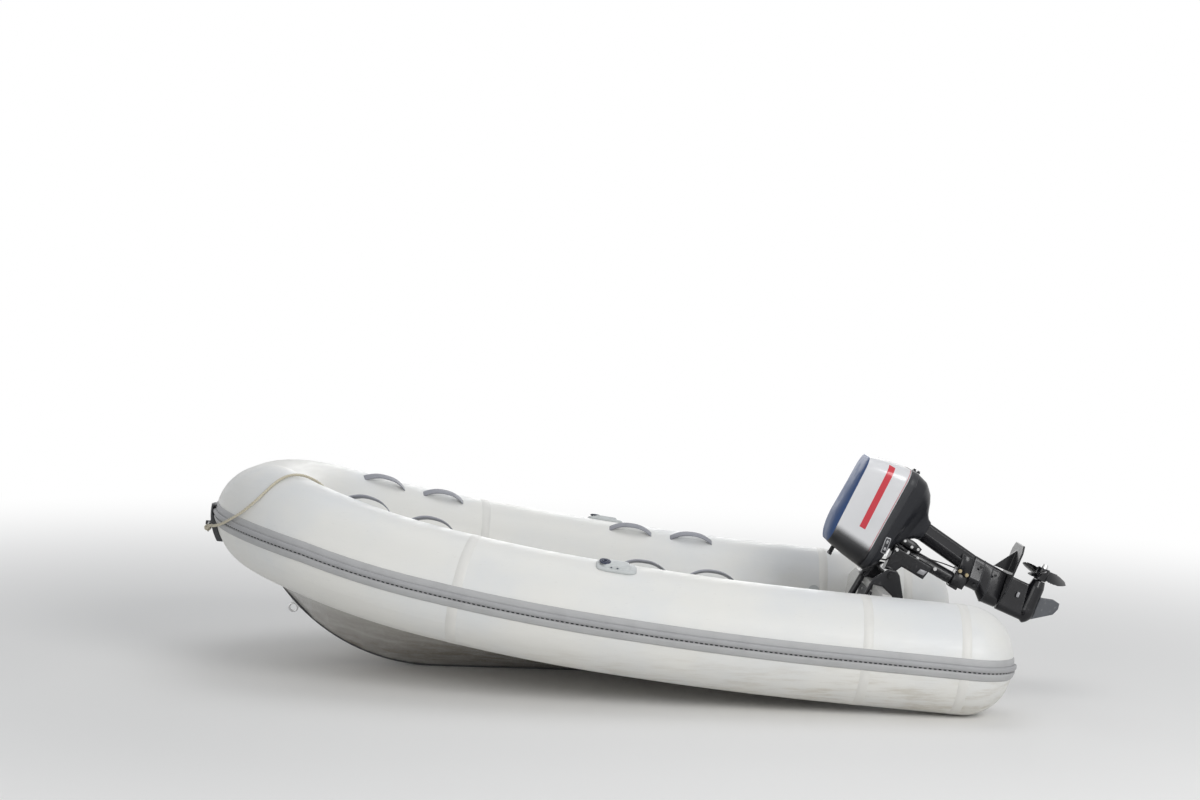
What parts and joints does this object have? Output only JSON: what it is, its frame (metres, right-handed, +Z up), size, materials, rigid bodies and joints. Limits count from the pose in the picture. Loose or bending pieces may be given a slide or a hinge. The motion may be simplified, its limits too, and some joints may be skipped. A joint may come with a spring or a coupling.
{
  "type": "rigid inflatable boat",
  "caption": "Inflatable boat with a rigid V hull, pale grey tubes, a dark rub strake, grab handles and a tilted outboard motor steered by a tiller",
  "frame": {"origin": "On the floor and the centreline, at the foot of the transom's aft face. The boat stands on its keel strip, bow up, as on a beach.", "axes": "+X to the bow along the keel, +Y to port, +Z up."},
  "size_m": [3.6185, 1.7806, 0.948],
  "materials": {
    "tube_fabric": "coated boat fabric, satin",
    "strake_rubber": "moulded rubber, matte",
    "gelcoat": "gelcoat, glossy",
    "keel_plastic": "moulded plastic, matte",
    "stainless": "stainless steel, brushed",
    "motor_black": "black enamel, satin",
    "skeg_metal": "worn grey enamel",
    "cowl_silver": "silver enamel, glossy",
    "grip_rubber": "ribbed rubber, matte",
    "rope": "three-strand cord"
  },
  "bodies": {
    "boat": {"bow_guard": "strake_rubber", "bow_ring": "stainless", "clamp_bracket_port": "motor_black", "clamp_bracket_starboard": "motor_black", "clamp_screws": "stainless", "deck_liner": "gelcoat", "drain_plug": "keel_plastic", "grab_handles_port": "strake_rubber", "grab_handles_starboard": "strake_rubber", "hull_shell": "gelcoat", "inflation_valves": "keel_plastic", "keel_strip": "keel_plastic", "motor_pad_inner": "keel_plastic", "motor_pad_outer": "keel_plastic", "oarlock_bushes": "stainless", "oarlock_pads": "strake_rubber", "painter_coil": "rope", "painter_knot": "rope", "painter_rope": "rope", "rub_strake": "strake_rubber", "stem_eye": "stainless", "stern_tow_eyes": "stainless", "tilt_pin": "stainless", "transom_board": "gelcoat", "tube_bow": "tube_fabric", "tube_port": "tube_fabric", "tube_starboard": "tube_fabric"},
    "swivel": {"swivel_bracket": "motor_black"},
    "motor": {"steering_yokes": "motor_black", "leg_housing": "motor_black", "leg_extension": "motor_black", "cavitation_plate": "motor_black", "gearcase": "motor_black", "skeg": "skeg_metal", "top_cowl": "cowl_silver", "lower_cowl": "motor_black", "powerhead": "motor_black", "starter_grip": "grip_rubber", "steering_arm": "motor_black"},
    "tiller": {"tiller_arm": "motor_black", "tiller_grip": "grip_rubber"},
    "propeller": {"propeller": "motor_black", "propeller_nut": "stainless"}
  },
  "joints": [
    {"name": "motor_tilt", "type": "hinge", "parent": "boat", "child": "swivel", "pos_m": [-0.12069, 0, 0.45901], "axis": [0, 1, 0], "range_deg": [-62, 0]},
    {"name": "motor_steer", "type": "hinge", "parent": "swivel", "child": "motor", "pos_m": [-0.17327, 0, 0.5579], "axis": [0.8829, 0, 0.4695], "range_deg": [-40, 40]},
    {"name": "tiller_lift", "type": "hinge", "parent": "motor", "child": "tiller", "pos_m": [-0.02564, 0, 0.45066], "axis": [0, -1, 0], "range_deg": [0, 70]},
    {"name": "propeller_spin", "type": "hinge", "parent": "motor", "child": "propeller", "pos_m": [-0.77984, 0, 0.46867], "axis": [0.3502, 0, -0.9367], "continuous": true}
  ]
}
